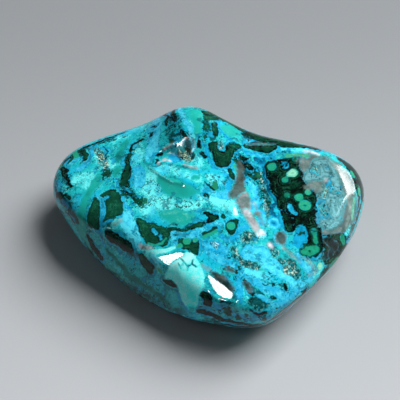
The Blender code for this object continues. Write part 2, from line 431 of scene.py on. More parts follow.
DUSKS_AND_PAINTED_SHADE = {
    "knob": (0.55, 1.5, (169, 112, 1.3), (173, 118, 2.2), (175, 130, 2.9), (173, 138, 1.6)),
    "beside_pocket": (0.8, 1.2, (186, 140, 1.0), (191, 150, 0.9), (193, 158, 0.8)),
    "behind_boot": (0.7, 1.5, (206, 122, 1.4), (210, 132, 1.6), (213, 138, 1.0)),
    "back_flank": (0.85, 1.2, (205, 113, 1.0), (214, 116, 1.1), (224, 121, 0.6), (240, 128, 0.4)),
    "back_right": (0.95, 1.2, (244, 136, 0.7), (262, 140, 1.2), (282, 143, 1.2), (300, 147, 0.8)),
    "above_boot": (0.5, 1.5, (230, 138, 0.8), (240, 140, 0.8)),
    "under_wavy": (0.85, 1.5, (242, 162, 1.2), (246, 172, 1.3), (240, 180, 1.0)),
    "blue_side": (0.45, 1.5, (258, 166, 1.0), (262, 174, 0.8)),
    "field_side": (0.65, 1.2, (266, 190, 0.8), (271, 202, 0.8), (270, 212, 0.8)),
    "right_corner": (0.95, 2.0, (328, 240, 2.6), (336, 250, 2.5), (326, 258, 1.5)),
    "key_bed": (0.95, 1.2, (314, 236, 1.6), (305, 251, 1.8), (318, 251, 1.8)),
    "right_edge": (0.95, 1.0, (360, 206, 0.5), (354, 224, 0.7), (347, 240, 0.8), (336, 256, 0.8),
                   (322, 274, 0.8), (308, 291, 0.6)),
    "left_tip": (0.7, 1.0, (57, 170, 0.8), (60, 175, 0.5)),
    "left_low": (0.8, 1.8, (60, 198, 1.4), (67, 204, 1.4), (72, 212, 1.2), (78, 222, 1.0)),
    "left_back": (0.8, 1.2, (84, 150, 1.0), (81, 156, 1.0)),
    "left_edge": (0.9, 0.8, (60, 169, 0.6), (66, 160, 0.9), (78, 151, 0.8), (98, 144, 0.5),
                  (114, 138, 0.4)),
    "vein": (0.75, 1.5, (129, 156, 0.8), (127, 170, 1.3), (124, 184, 1.6), (133, 196, 1.2)),
    "left_field": (0.8, 1.2, (96, 200, 1.2), (98, 212, 1.6), (112, 198, 1.8), (116, 208, 1.6),
                   (108, 232, 1.2), (118, 240, 1.4), (130, 250, 1.0)),
    "green_band": (0.75, 1.2, (140, 224, 1.4), (150, 235, 2.4), (164, 238, 1.6), (185, 228, 0.8),
                   (205, 222, 0.6)),
    "green_bed": (0.85, 1.2, (186, 244, 1.8), (194, 250, 1.4)),
    "crest": (0.7, 1.5, (112, 238, 1.2), (128, 250, 1.2), (142, 260, 1.4), (150, 272, 1.2)),
    "front_low": (0.95, 1.0, (200, 309, 0.9), (213, 315, 0.9), (228, 323, 0.7), (245, 326, 0.7),
                  (262, 325, 0.6)),
    "front_lens": (0.5, 1.5, (222, 282, 1.6)),
    "low_right": (0.5, 2.0, (292, 262, 1.6), (298, 275, 1.6)),
    "middle": (0.45, 2.0, (246, 236, 1.6), (244, 262, 1.6), (262, 268, 1.2)),
    "front_between": (0.75, 1.5, (250, 290, 1.2), (262, 296, 1.2), (254, 302, 1.6), (262, 304, 1.6)),
    "front_eyes": (0.7, 1.5, (264, 281, 0.7), (274, 283, 0.6), (286, 287, 0.7), (273, 297, 0.5),
                   (246, 314, 0.6)),
    "below_lens": (0.6, 1.2, (222, 300, 0.9), (230, 304, 0.7)),
    # This dark patch is a painted reflection of the shadowed tabletop.
    "left_black": (0.8, 1.5, (92, 246, 0.9), (102, 258, 0.9)),
    # This darkening of the lower-left side face is partly its own dark teal and partly painted shade.
    "side": (0.66, 3.0, (84, 246, 1.2), (104, 266, 1.6), (124, 284, 2.2), (150, 302, 2.6), (180, 316, 2.6),
             (215, 323, 3.0), (240, 328, 2.4)),
    "below_curve": (0.5, 1.2, (128, 206, 0.9), (132, 214, 1.1), (130, 221, 0.8)),
}
for share, soft, *balls in DUSKS_AND_PAINTED_SHADE.values():
    brush(dusk_and_painted_shade, balls, share, soft)
unseen_dusks = grown_unseen(34, tones=(0.5, 1.0), lengths=(2, 5), step=3.5, radius=2.4)
for share, *balls in unseen_dusks.values():
    brush(dusk_and_painted_shade, balls, share, 2.0)


# ---------------------------------------------------------------------------------------------------------
# Lace: granular zones where chrysocolla, malachite and quartz grew together as tiny cells. It fills the
# gaps between the clear patches, and takes a slightly duller polish than they do.
# ---------------------------------------------------------------------------------------------------------
lay("lace", {
    "left_back": (0.3, (97, 150, 1.0), (101, 157, 1.3), (106, 166, 1.2)),
    "knob_low": (-0.4, (184, 143, 0.7), (188, 150, 0.8)),
    "pocket_lining": (0.5, (179, 151), (186, 150), (192, 155), (193, 161), (186, 162), (179, 158)),
    "beside_field": (0.1, (256, 176, 0.9), (260, 174, 0.9), (263, 186, 0.8), (266, 199, 0.9),
                     (268, 212, 0.9), (267, 224, 0.8)),
    "beside_boot": (-0.3, (226, 184, 1.0), (231, 178, 0.8)),
    "middle": (-0.1, (238, 232), (248, 229), (258, 233), (258, 241), (248, 245), (240, 243)),
    "middle_low": (0.0, (233, 249, 1.0), (238, 257, 1.4), (247, 263, 1.3), (257, 268, 1.2)),
    "right_of_disc": (0.1, (268, 243), (277, 246), (280, 256), (272, 258), (266, 250)),
    "right_low": (0.1, (270, 262), (284, 256), (294, 262), (301, 274), (298, 283), (286, 278), (276, 270)),
    "in_blue": (0.5, (208, 247, 0.9), (213, 247, 1.2), (212, 253, 1.1)),
    "olive_bed": (-0.4, (246, 300), (254, 296), (266, 298), (270, 305), (262, 312), (251, 309)),
})
lay("lace", grown_unseen(36, tones=(-0.4, 0.6), lengths=(2, 7), step=1.8, radius=1.3))


# ---------------------------------------------------------------------------------------------------------
# Teal lenses: clear, even chrysocolla with hardly a speck in it, grown as long pods and strips. Of the two
# that lie across the crown, the upper has a dark upper edge, and the lower a pale one.
# ---------------------------------------------------------------------------------------------------------
lay("teal", {
    "curved_left": (-0.2, (100, 173), (104, 178), (96, 188), (91, 199), (87, 210), (85, 224), (88, 236),
                    (84, 236), (78, 226), (77, 214), (80, 202), (86, 191), (92, 181)),
    "side_streak": (-0.75, (106, 249, 0.4), (117, 260, 0.8), (129, 276, 1.0), (147, 287, 1.0),
                    (166, 301, 0.6)),
    "side_edge": (-0.5, (74, 233, 0.3), (88, 248, 0.5), (101, 262, 0.6), (122, 281, 0.6), (152, 302, 0.6),
                  (180, 316, 0.4)),
    "side_strip": (0.1, (78, 226, 0.9), (86, 240, 1.1), (96, 255, 1.2), (108, 268, 1.2), (124, 281, 1.0)),
    "back_strip": (-0.4, (115, 158), (118, 148), (126, 139), (130, 142), (125, 151), (120, 162),
                   (115, 163)),
    "small_left": (-0.3, (112, 176), (116, 166), (121, 165), (121, 172), (116, 179)),
    "knob_top": (0.05, (188, 109), (198, 108), (204, 113), (201, 120), (203, 132), (199, 139), (195, 134),
                 (192, 122)),
    "back_right": (0.0, (219, 126), (225, 124), (236, 126), (243, 130), (241, 135), (234, 138), (227, 136),
                   (221, 131)),
    "great_lens": (0.0, (155, 178), (162, 175), (175, 178), (188, 183), (197, 189), (196, 195), (187, 200),
                   (174, 198), (164, 192), (159, 186)),
    "second_lens": (0.0, (158, 211), (172, 209), (186, 210), (195, 214), (197, 220), (187, 225), (174, 224),
                    (164, 220)),
    "small_by_neck": (0.0, (194, 178, 1.0), (198, 178, 0.7)),
})
lay("teal", grown_unseen(26, tones=(-0.5, 0.4), lengths=(2, 5), step=2.6, radius=2.2))
brush(tone, [(170, 176, 0.3), (186, 181, 0.4), (196, 187, 0.4)], -0.9, 1.4)
brush(tone, [(166, 213, 0.3), (178, 212, 0.4), (188, 214, 0.3)], 0.5, 1.2)


# ---------------------------------------------------------------------------------------------------------
# Sky-blue seams: the purest chrysocolla, which filled cracks in the ground. It rims the malachite, and
# spreads in branches and rounded drops along the front.
# ---------------------------------------------------------------------------------------------------------
lay("sky", {
    "left_tip": (0.35, (57, 181, 1.0), (59, 187, 1.5), (58, 193, 1.0)),
    "left_back": (0.3, (64, 164, 0.8), (69, 161, 1.2), (75, 160, 1.1)),
    "left_hook": (0.3, (92, 146, 0.7), (91, 156, 0.9), (85, 166, 1.3), (79, 169, 1.0)),
    "left_lower": (-0.5, (62, 202, 0.9), (67, 206, 1.0)),
    "behind_knob": (0.5, (153, 118), (161, 116), (161, 130), (158, 142), (158, 152), (150, 162), (144, 158),
                    (147, 142), (149, 130)),
    "beside_vein": (0.4, (131, 168), (140, 164), (146, 172), (146, 184), (138, 190), (132, 184),
                    (134, 176)),
    "line_of_drops": (0.2, (116, 178, 0.4), (119, 190, 0.5), (123, 200, 0.6), (128, 208, 0.7),
                      (132, 215, 0.6)),
    "knob_band": (0.6, (179, 109, 0.8), (183, 117, 0.9), (188, 126, 0.8), (191, 136, 0.5),
                  (194, 150, 0.5)),
    "pocket_floor": (0.2, (168, 155), (174, 152), (180, 158), (184, 163), (176, 163), (169, 161)),
    "boot_rim": (0.0, (200, 140, 0.5), (205, 146, 0.55), (208, 153, 0.6), (210, 161, 0.6), (215, 168, 0.6),
                 (225, 170, 0.6), (232, 164, 0.6), (236, 157, 0.7), (237, 152, 0.6), (232, 151, 0.5),
                 (238, 151, 0.6), (242, 149, 0.6)),
    "wavy": (0.25, (242, 149, 0.6), (247, 153, 0.7), (256, 154, 0.8), (264, 157, 0.8), (273, 156, 0.8),
             (278, 151, 0.6), (280, 146, 0.6), (285, 147, 0.7), (290, 151, 0.7)),
    "light_strip": (0.8, (284, 148, 0.9), (294, 149, 1.2), (306, 151, 0.9)),
    "right_of_disc": (0.1, (225, 173, 0.7), (230, 180, 0.9), (229, 188, 1.0), (227, 194, 0.9)),
    "under_disc": (0.4, (204, 190, 0.7), (214, 194, 1.2), (226, 196, 1.2)),
    "field_border": (-0.8, (262, 160, 0.9), (264, 168, 0.8), (265, 177, 0.7), (268, 187, 0.7),
                     (273, 196, 0.7), (278, 202, 0.7), (273, 207, 0.6), (272, 213, 0.6), (277, 217, 0.6)),
    "loop_round_brown": (0.2, (261, 161, 0.5), (259, 169, 0.5), (255, 176, 0.5), (247, 178, 0.5),
                         (244, 184, 0.5)),
    "blue_behind_loop": (-0.6, (256, 160, 1.0), (264, 164, 0.8)),
    "back_right_seam": (0.0, (216, 121, 0.35), (218, 127, 0.4), (224, 134, 0.45), (231, 139, 0.4)),
    "cells_top": (0.5, (250, 182, 0.8), (255, 189, 1.5), (257, 198, 0.9)),
    "cells_low": (0.35, (256, 203, 1.6), (252, 209, 1.0), (262, 214, 1.2), (262, 224, 1.0)),
    "blue_eye": (-0.5, (274, 222, 2.0)),
    "blue_eye_wings": (-0.2, (281, 216, 0.9), (278, 222, 1.2), (282, 226, 0.9)),
    "above_spots": (-0.6, (243, 164, 0.8), (247, 161, 0.6)),
    "back_patch": (-0.4, (257, 140, 0.7), (263, 140, 0.6)),
    "disc": (0.5, (250, 253, 2.5), (262, 253, 2.5)),
    "disc_arc": (0.5, (273, 262, 1.3), (279, 269, 1.3)),
    "middle": (0.2, (202, 243), (210, 240), (222, 241), (230, 250), (226, 258), (214, 260), (204, 254)),
    "middle_top": (0.2, (221, 236, 0.8), (228, 240, 0.9), (236, 237, 0.9), (240, 229, 0.9),
                   (247, 226, 0.7)),
    "front": (0.35, (203, 242, 1.2), (214, 256, 1.3), (228, 263, 1.3), (240, 271, 1.4), (252, 279, 1.5),
              (266, 288, 1.5), (282, 295, 1.6), (293, 292, 1.6)),
    "front_second": (0.6, (262, 262, 1.2), (272, 268, 1.3), (282, 276, 1.2), (294, 284, 1.3),
                     (304, 284, 1.1)),
    "front_beside_lens": (0.2, (238, 274, 0.9), (239, 286, 1.0), (240, 298, 1.0)),
    "front_low": (0.1, (213, 302, 1.0), (220, 308, 1.2), (230, 313, 1.3), (243, 317, 1.2), (256, 320, 1.1),
                  (268, 318, 1.0)),
    "front_low_right": (0.3, (272, 312, 1.0), (280, 304, 1.3), (290, 296, 1.4), (300, 290, 1.0)),
    "front_branch": (0.5, (258, 296, 0.7), (268, 300, 0.8), (276, 306, 0.8)),
    "front_top": (0.8, (246, 271, 0.9), (256, 273, 1.0), (264, 277, 0.9)),
    "tongue_edge": (0.0, (202, 280, 0.6), (200, 290, 0.8), (197, 299, 0.7), (195, 310, 0.8)),
    "tongue_left": (0.0, (178, 293, 0.7), (183, 302, 0.8), (189, 310, 0.8)),
    "under_green": (0.5, (169, 231, 0.5), (178, 233, 0.7), (188, 236, 0.9), (198, 233, 0.8),
                    (207, 229, 0.8), (213, 223, 0.7)),
    "under_green_right": (0.5, (213, 223, 0.6), (224, 224, 0.6), (231, 220, 0.6), (238, 214, 0.6)),
    "green_wedge": (0.5, (169, 232, 0.5), (173, 238, 0.7), (176, 244, 0.7), (171, 248, 0.6)),
    # This patch is painted brighter, as painted light on the front-left face.
    "left_of_tongue": (0.9, (153, 253, 0.8), (156, 262, 1.1), (158, 270, 0.9)),
    "strip": (0.75, (121, 213), (127, 209), (133, 217), (138, 228), (141, 238), (142, 247), (137, 252),
              (131, 244), (124, 234), (119, 222)),
    "lens_right": (-0.1, (300, 228, 1.2), (301, 236, 1.9), (297, 245, 1.3)),
    "low_right": (0.5, (298, 256, 0.9), (303, 264, 1.1), (310, 270, 1.5), (310, 279, 1.3)),
    "rim_top_right": (0.0, (320, 151, 0.5), (331, 154, 0.5)),
})
lay("sky", grown_unseen(130, tones=(-0.7, 0.8), lengths=(3, 10), step=1.8, radius=0.8))


# ---------------------------------------------------------------------------------------------------------
# Agate lobe: half-clear quartz stained pale blue, in bands round an oval middle. Grey-brown chalcedony
# holds it, lace opens along its core, and thin dark cracks run down its shore. The grey round the lobe is
# partly a painted reflection of the softbox.
# ---------------------------------------------------------------------------------------------------------
# The grey round the lobe is partly a painted reflection of the softbox.
lay("window_and_painted_gloss", {
    "lobe": (-0.15, (292, 155), (308, 153), (328, 157), (344, 167), (354, 182), (357, 200), (354, 221),
             (346, 232), (330, 240), (318, 233), (313, 215), (315, 200), (300, 180), (297, 164)),
}, soft=1.0)
lay("agate", {
    "lobe": (-0.3, (299, 185), (302, 176), (309, 167), (313, 160), (325, 158), (333, 161), (336, 170),
             (340, 180), (343, 190), (346, 202), (344, 216), (339, 226), (331, 231), (324, 229), (318, 222),
             (314, 213), (315, 203), (318, 196), (321, 188), (322, 181), (312, 180), (305, 183)),
})
lay("lace", {
    "agate_top": (0.6, (312, 171, 0.6), (316, 168, 0.7), (318, 173, 0.5)),
    "agate_core": (0.7, (331, 184, 0.6), (327, 190, 0.8), (324, 197, 0.6)),
    "agate_low": (0.3, (318, 203, 0.5), (322, 208, 0.5), (325, 216, 0.5)),
})
lay("malachite", {
    "agate_crack": (-0.6, (330, 183, 0.15), (334, 191, 0.2), (340, 195, 0.2)),
    "agate_crack_low": (-0.5, (324, 203, 0.25), (326, 211, 0.3), (329, 217, 0.15)),
    "agate_shore": (-0.3, (316, 196, 0.3), (315, 204, 0.4), (316, 212, 0.3)),
})
lay("agate", {"oval": (0.2, (335, 202, 1.4), (336, 209, 1.8), (335, 215, 1.4))})
lay("agate", grown_unseen(4, tones=(0.0, 0.3), lengths=(2, 4), step=3.0, radius=3.0))


# ---------------------------------------------------------------------------------------------------------
# Malachite: green-black copper mineral with a few growth lines, in fields, bands and spots. The great
# field beside the agate is the darkest. The thin dark rims along the stone's outline are partly malachite
# and partly painted shade, where the surface turns away from the light.
# ---------------------------------------------------------------------------------------------------------
lay("malachite", {
    # The rims along the outline (left_back_rim, left_tip_rim, back_edge, back_outer, knob_outer,
    # right_outer, right_inner, right_rim_low, low_right_edge, front_edge, front_edge_right, bottom_edge)
    # are painted shade where the surface turns away, over some malachite.
    "left_back_rim": (-0.4, (60, 167, 0.4), (66, 160, 0.5), (74, 154, 0.6), (84, 148, 0.6), (96, 143, 0.6),
                      (112, 137, 0.4), (128, 131, 0.3)),
    "left_back_boot": (-0.4, (82, 150, 0.8), (85, 156, 1.1), (84, 160, 0.8)),
    "left_tip": (-0.8, (57, 169, 0.6), (62, 169, 0.8), (67, 171, 0.8)),
    "left_tip_rim": (-0.4, (56, 178, 0.4), (56, 192, 0.4)),
    "left_line": (-0.2, (104, 146, 0.3), (107, 152, 0.4), (106, 159, 0.4)),
    "left_tip_low": (-0.6, (57, 196, 0.8), (62, 194, 0.5)),
    "left_net_low": (-0.3, (60, 197, 0.8), (66, 195, 0.6), (70, 198, 0.7)),
    "left_low_edge": (-0.3, (60, 210, 0.3), (69, 214, 0.4), (74, 222, 0.5)),
    # This dark strip is a painted reflection of the shadowed tabletop, laid as malachite.
    "left_dark_reflection_strip": (-0.8, (88, 236, 0.8), (94, 248, 1.0), (102, 258, 0.9)),
    "left_field": (0.0, (88, 211), (91, 203), (97, 197), (104, 192), (112, 188), (119, 191), (122, 200),
                   (124, 209), (120, 216), (112, 217), (106, 222), (104, 229), (96, 231), (89, 228),
                   (87, 220)),
    "crest_left": (-0.7, (104, 231), (115, 231), (125, 239), (133, 247), (134, 254), (124, 250), (114, 243),
                   (106, 238)),
    "crest_low": (-0.4, (136, 254), (144, 254), (151, 262), (154, 272), (149, 275), (142, 266)),
    "vein": (-0.4, (145, 139, 0.4), (138, 141, 0.6), (132, 146, 0.6), (129, 152, 0.5), (127, 160, 0.7),
             (128, 168, 1.0), (126, 176, 1.5), (123, 182, 1.2), (130, 186, 0.5)),
    "knob_top": (-0.6, (163, 115, 0.5), (168, 112, 0.8), (174, 110, 0.7), (173, 114, 0.8)),
    "knob_high": (-0.5, (167, 118, 0.7), (166, 124, 0.8)),
    "knob_right": (-0.6, (182, 131, 0.6), (187, 140, 0.7)),
    "spot_back": (-0.4, (151, 134, 0.6), (151, 136, 0.6)),
    "dash_back": (-0.4, (151, 127, 0.4), (156, 126, 0.4)),
    "below_vein": (-0.3, (121, 190, 0.4), (126, 192, 0.5), (134, 198, 0.6), (139, 203, 0.6)),
    "pocket_gap": (-1.0, (157, 155, 0.5), (161, 153, 0.5), (158, 160, 0.5), (157, 163, 0.5)),
    "olive_back": (0.1, (201, 117), (204, 111), (210, 110), (217, 115), (221, 119), (212, 121),
                   (205, 121)),
    "behind_boot": (-0.3, (212, 122), (217, 122), (218, 132), (216, 138), (212, 134)),
    "boot": (-0.5, (207, 143), (215, 141), (219, 141), (220, 150), (224, 152), (227, 143), (234, 142),
             (241, 144), (241, 148), (233, 152), (232, 159), (229, 166), (221, 168), (215, 166), (213, 158),
             (211, 152), (208, 148)),
    "boot_lobe": (0.1, (231, 146, 0.9), (238, 146, 0.8)),
    "oval_high": (-0.8, (199, 140, 0.5), (199, 146, 0.7)),
    "oval_low": (-0.8, (202, 152, 0.7), (205, 157, 0.7)),
    "strip": (-0.5, (243, 148), (245, 142), (255, 142), (267, 142), (277, 142), (277, 148), (272, 152),
              (265, 153), (258, 151), (250, 149)),
    "back_edge": (-0.4, (242, 134, 0.5), (252, 137, 0.9), (264, 140, 0.7), (280, 142, 0.9), (300, 145, 0.8),
                  (320, 149, 0.7)),
    "back_outer": (-0.6, (243, 130, 1.4), (256, 136, 2.2), (270, 140, 2.4), (290, 144, 2.0),
                   (306, 147, 1.2), (320, 150, 0.6)),
    "knob_outer": (-0.3, (204, 112, 1.0), (216, 116, 1.2), (230, 123, 1.2), (243, 130, 1.2)),
    "small_triangle": (-0.3, (283, 152, 0.4), (286, 153, 0.4)),
    "under_wavy": (-0.5, (241, 157, 0.9), (246, 158, 0.5)),
    "brown_spot": (-1.0, (249, 167, 1.0), (251, 169, 0.9), (243, 163, 0.4)),
    "field": (-0.9, (265, 163), (271, 160), (278, 160), (287, 158), (293, 155), (300, 157), (299, 167),
              (303, 173), (303, 180), (307, 185), (315, 188), (317, 198), (315, 208), (315, 217),
              (317, 224), (318, 232), (319, 244), (322, 252), (314, 258), (304, 255), (306, 244),
              (308, 232), (300, 225), (294, 227), (291, 232), (286, 233), (283, 227), (285, 220),
              (281, 213), (278, 208), (277, 200), (272, 192), (267, 180), (265, 171)),
    "right_dusk": (-0.3, (320, 234), (332, 234), (344, 232), (348, 240), (346, 252), (338, 262), (328, 258),
                   (322, 248)),
    "dusk_low": (-0.5, (326, 262, 0.8), (334, 258, 1.0)),
    "dark_patch_mid": (-0.6, (204, 214, 0.5), (209, 214, 1.1), (215, 217, 1.1), (210, 221, 0.8)),
    "grey_dot": (0.2, (223, 216, 0.6), (224, 217, 0.5)),
    "green_band": (-0.1, (136, 218), (146, 221), (158, 225), (170, 227), (182, 228), (195, 225), (206, 221),
                   (208, 225), (196, 230), (183, 232), (170, 230), (168, 238), (168, 244), (160, 247),
                   (148, 245), (141, 238), (138, 228)),
    "green_bed": (-0.2, (178, 238), (188, 238), (200, 240), (200, 252), (196, 258), (190, 250), (182, 250),
                  (177, 247)),
    "green_strip": (-0.2, (204, 234, 0.5), (211, 231, 0.5), (216, 228, 0.6)),
    "ring_bed": (-0.2, (226, 222), (235, 218), (240, 222), (236, 232), (231, 236), (225, 230)),
    "partial_ring_bed": (-0.3, (231, 170, 0.9), (233, 177, 0.9)),
    "disc_edge": (-0.3, (206, 182, 0.4), (210, 187, 0.5), (214, 190, 0.4)),
    "oval_window": (-0.5, (205, 195, 0.6), (207, 196, 0.5)),
    "front_oval": (-0.2, (226, 268, 0.8), (231, 270, 0.9), (236, 272, 0.7)),
    "front_oval_low": (-0.3, (245, 281, 0.8), (248, 286, 1.1), (252, 293, 0.7)),
    "front_lens": (-0.2, (211, 271), (220, 273), (228, 279), (234, 288), (233, 297), (226, 288),
                   (219, 279)),
    "front_black": (-0.85, (202, 294, 1.2), (208, 297, 1.4), (207, 303, 1.3)),
    "front_edge_left": (-0.5, (165, 281, 0.6), (171, 284, 0.9), (177, 287, 0.5)),
    "front_edge": (-0.7, (198, 311, 0.7), (211, 314, 0.8), (222, 319, 0.8), (240, 323, 0.7),
                   (258, 325, 0.6)),
    "front_edge_right": (-0.8, (268, 321, 0.6), (280, 312, 0.7), (292, 303, 0.6), (304, 294, 0.5)),
    "front_dot": (-0.5, (229, 309, 0.7), (230, 311, 0.6)),
    "front_dot_left": (-0.5, (222, 301, 0.6), (225, 301, 0.4)),
    "front_dot_right": (-0.4, (246, 315, 0.5), (247, 316, 0.4)),
    "olive_shadow": (-0.9, (250, 311, 0.4), (258, 314, 0.5), (268, 312, 0.4)),
    "low_eye": (-0.2, (273, 282, 0.5), (274, 283, 0.5)),
    "low_slot": (-0.6, (285, 286, 0.5), (287, 289, 0.5)),
    "low_spot": (-0.2, (272, 297, 0.6), (274, 298, 0.6)),
    "corner": (-0.6, (302, 291, 0.4), (306, 290, 0.4)),
    "right_outer": (-0.8, (337, 157, 0.5), (344, 162, 1.4), (352, 168, 2.2), (358, 176, 2.4),
                    (362, 187, 2.2), (362, 198, 1.2)),
    "right_inner": (-0.85, (338, 159, 0.6), (344, 163, 0.9), (350, 170, 1.1), (355, 179, 1.2),
                    (358, 188, 1.2), (359, 198, 0.8), (358, 208, 0.4)),
    "low_right_edge": (-0.85, (271, 320, 0.7), (281, 314, 1.0), (290, 306, 1.1), (298, 299, 0.9),
                       (305, 292, 0.6)),
    "bottom_edge": (-0.9, (216, 322, 0.4), (228, 325, 0.6), (242, 327, 0.7), (256, 326, 0.7),
                    (268, 322, 0.7)),
    "field_low_left": (-0.8, (283, 213, 0.9), (288, 222, 1.6), (290, 229, 1.3)),
    "stalk_side": (-0.9, (319, 229, 0.7), (321, 238, 0.8), (321, 248, 0.8), (316, 256, 0.6)),
    "right_rim_low": (-0.5, (361, 203, 0.5), (359, 212, 0.5), (356, 221, 0.6), (353, 230, 0.6),
                      (348, 240, 0.7), (342, 249, 0.7), (335, 259, 0.7), (327, 270, 0.7), (318, 280, 0.7),
                      (307, 293, 0.6)),
})
UNSEEN_MASSES = grown_unseen(44, tones=(-0.8, 0.1), lengths=(2, 6), step=2.6, radius=2.2)
lay("malachite", UNSEEN_MASSES)
lay("malachite", grown_unseen(70, tones=(-0.8, 0.1), lengths=(2, 7), step=1.8, radius=0.7))


# ---------------------------------------------------------------------------------------------------------
# Malachite eyes: stalks of paler green malachite cut across, in rings round their middles. They stand in
# the dark masses, and their edges are smoother than those of the other patches.
# ---------------------------------------------------------------------------------------------------------
EYE_RAGGED_DEPTH = 0.25
EYE_FINE_RAGGED_DEPTH = 0.10

here = survey(EYE_RAGGED_DEPTH, EYE_FINE_RAGGED_DEPTH)
lay("eye", {
    "field_top": (0.0, (272, 167, 1.3)),
    "field_pale": (0.9, (293, 173, 1.4), (289, 174, 0.9)),
    "field_left": (-0.1, (285, 180, 1.0)),
    "field_dim": (-0.6, (287, 195, 0.9)),
    "field_middle": (0.1, (299, 197, 1.3)),
    "field_great": (0.1, (305, 205, 1.8)),
    "field_small": (0.2, (308, 192, 1.0)),
    "field_faint": (-0.7, (295, 159, 0.8)),
    "left_tip": (-0.2, (60, 166, 0.9), (60, 167, 0.8)),
    "left_back": (0.0, (75, 152, 0.8), (76, 157, 0.9)),
    "partial_ring": (0.2, (234, 165, 0.4), (238, 170, 0.55), (238, 178, 0.4)),
    "ring": (-0.1, (231, 226, 1.2)),
    "blob_one": (0.0, (187, 241, 1.1)),
    "blob_two": (0.2, (195, 240, 0.7)),
    "blob_three": (0.1, (180, 246, 0.8), (177, 247, 0.5)),
    "key_head": (-0.3, (314, 231, 1.0), (315, 236, 0.6), (316, 242, 0.6)),
    "key_foot": (-0.3, (304, 252, 0.9), (309, 251, 1.5), (316, 249, 1.2)),
    "low_disc": (0.8, (320, 266, 1.1)),
    "rim_high": (-0.1, (352, 173, 0.9), (353, 175, 0.9)),
    "rim_low": (-0.1, (359, 190, 0.9), (359, 193, 0.9)),
    "rim_strip": (0.4, (354, 199, 0.5), (353, 209, 0.7), (352, 219, 0.5)),
    "top_strip": (0.3, (287, 156, 0.6), (297, 154, 0.6), (307, 156, 0.8)),
    "right_green": (-0.4, (342, 237, 0.8), (344, 243, 0.7)),
    "right_green_low": (-0.4, (344, 253, 0.5), (336, 259, 0.5), (330, 266, 0.6)),
    "strip_green": (-0.2, (203, 237, 0.4), (210, 234, 0.4), (216, 231, 0.4)),
    "left_of_tongue": (0.2, (158, 269, 0.6), (161, 272, 0.6)),
    "body_arc": (-0.2, (148, 243, 0.25), (155, 246, 0.3), (162, 243, 0.3), (166, 238, 0.25)),
})
EYE_SHARE = 0.5           # of the mass that it grew in
for _, *balls in UNSEEN_MASSES.values():
    lay("eye", {number: (chance.uniform(-0.5, 0.6), (*place, radius * EYE_SHARE * chance.uniform(0.5, 1.2)))
                for number, (*place, radius) in enumerate(balls[::2])})
lay("eye", grown_unseen(24, tones=(-0.5, 0.8), lengths=(1, 4), step=0.8, radius=0.8))
lay("malachite", {
    "great_dot": (-1.0, (305, 205, 0.4)),
    "key_head_dot": (-1.0, (314, 231, 0.45)),
    "key_foot_dot": (-1.0, (310, 251, 0.35)),
})


# ---------------------------------------------------------------------------------------------------------
# Late blue: seams and islands of chrysocolla that cut through the malachite. They filled its last cracks,
# so they are laid after it.
# ---------------------------------------------------------------------------------------------------------
lay("sky", {
    "dagger": (0.3, (102, 200, 0.7), (103, 207, 0.9), (103, 214, 0.9), (101, 222, 0.6), (101, 230, 0.5),
               (102, 240, 0.6), (105, 247, 0.4)),
    "dagger_guard": (0.3, (97, 196, 0.5), (102, 200, 0.7), (108, 197, 0.5)),
    "dagger_twig": (0.1, (102, 225, 0.5), (111, 220, 0.5)),
    "field_chip": (0.2, (289, 206, 0.7), (292, 210, 0.8), (296, 214, 0.6)),
    "star": (-0.2, (153, 230, 0.6), (156, 233, 0.6)),
    "star_low": (-0.2, (160, 236, 0.5), (161, 239, 0.4)),
    "ring_square": (-0.9, (283, 162, 0.3), (287, 162, 0.3), (288, 167, 0.3), (284, 168, 0.3),
                    (283, 162, 0.3)),
    "right_edge_seam": (0.2, (357, 214, 0.5), (353, 228, 0.6), (347, 242, 0.6)),
    "right_edge_seam_low": (0.2, (340, 257, 0.6), (331, 269, 0.6)),
    "right_top_seam": (0.1, (319, 149, 0.4), (326, 152, 0.45), (334, 156, 0.3)),
})
lay("lace", {"boot_cell": (-0.1, (220, 142, 0.8), (221, 148, 0.9))})
lay("sky", {
    "white_disc": (1.0, (261, 234, 1.7)),
    "brown_eye_halo": (0.7, (281, 239, 2.2)),
})
brush(tone, [(140, 247, 1.0), (146, 252, 1.0)], 0.7, 2.0)
brush(tone, [(274, 223, 1.9)], 0.5, 0.9)
brush(tone, [(274, 223, 0.6)], -1.0, 1.6)


# ---------------------------------------------------------------------------------------------------------
# Tongue: pale chrysocolla that runs over the front edge, with dark crackle in its top and teal in its tip.
# Its top is painted paler, partly as painted sheen.
# The same pale mineral makes the stripe above it and the fibres at the left; the line on the crown is a
# painted highlight along its ridge.
# ---------------------------------------------------------------------------------------------------------
lay("pale", {
    "tongue": (0.4, (163, 279), (168, 268), (174, 262), (180, 256), (188, 251), (194, 254), (198, 260),
               (203, 270), (205, 279), (203, 289), (199, 296), (197, 305), (196, 312), (190, 312),
               (184, 304), (180, 295), (177, 286), (170, 279)),
    "stripe": (0.5, (145, 249, 0.5), (156, 252, 0.7), (166, 251, 0.7), (174, 248, 0.5)),
    # This thin pale line is a painted highlight along the crown's ridge.
    "painted_ridge_highlight": (0.7, (147, 165, 0.05), (155, 171, 0.14), (164, 177, 0.16), (173, 182, 0.05)),
    "fibre": (1.0, (88, 228, 0.12), (93, 229, 0.2), (95, 232, 0.12)),
    "fibre_right": (1.0, (103, 229, 0.12), (108, 228, 0.2), (114, 228, 0.12)),
})
